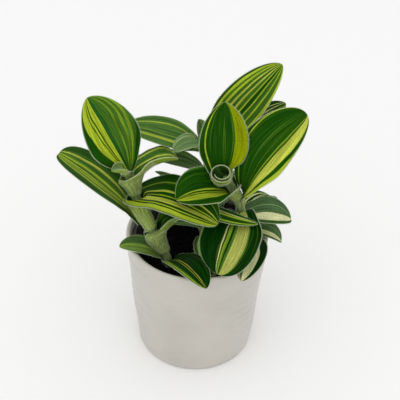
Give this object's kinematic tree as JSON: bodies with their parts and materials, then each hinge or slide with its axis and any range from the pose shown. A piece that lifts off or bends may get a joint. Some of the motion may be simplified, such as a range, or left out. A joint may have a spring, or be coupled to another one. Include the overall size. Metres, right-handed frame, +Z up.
{
  "type": "potted inch plant",
  "caption": "Small inch plant with oval striped leaves on upright stems, growing in soil in a thin inner pot inside a round glazed ceramic pot that stands on its flat foot.",
  "frame": {"origin": "centre of the ceramic pot's flat underside, which stands on the table", "axes": "+Z up along the pot's axis, +X to the right and -Y towards the viewer in the picture"},
  "size_m": [0.1478, 0.1138, 0.1972],
  "materials": {
    "off_white_glaze": "satin glaze",
    "black_plastic": "matt",
    "dark_soil": "rough and crumbly",
    "pale_stem_green": "softly hairy plant stem",
    "striped_leaf_green": "satin leaf with yellow stripes"
  },
  "bodies": {
    "root": {"ceramic_pot": "off_white_glaze", "nursery_pot": "black_plastic", "soil": "dark_soil", "left_stem": "pale_stem_green", "right_stem": "pale_stem_green", "back_stem": "pale_stem_green", "front_left_rim_leaf": "striped_leaf_green", "left_rim_leaf": "striped_leaf_green", "left_shaded_leaf": "striped_leaf_green", "left_low_leaf": "striped_leaf_green", "left_wide_leaf": "striped_leaf_green", "left_arching_leaf": "striped_leaf_green", "left_upright_leaf": "striped_leaf_green", "left_young_leaf": "striped_leaf_green", "front_right_rim_leaf": "striped_leaf_green", "right_rim_leaf": "striped_leaf_green", "front_hanging_leaf": "striped_leaf_green", "right_low_leaf": "striped_leaf_green", "right_broad_leaf": "striped_leaf_green", "middle_leaf": "striped_leaf_green", "right_upright_leaf": "striped_leaf_green", "furled_leaf": "striped_leaf_green", "front_narrow_leaf": "striped_leaf_green", "back_slender_leaf": "striped_leaf_green", "back_right_leaf": "striped_leaf_green", "back_left_leaf": "striped_leaf_green", "back_long_leaf": "striped_leaf_green", "back_tall_leaf": "striped_leaf_green", "back_young_leaf": "striped_leaf_green", "back_bud_leaf": "striped_leaf_green", "front_inner_leaf": "striped_leaf_green", "inner_shaded_leaf": "striped_leaf_green", "rear_rim_leaf": "striped_leaf_green", "rear_right_leaf": "striped_leaf_green", "rear_side_leaf": "striped_leaf_green"}
  },
  "joints": []
}
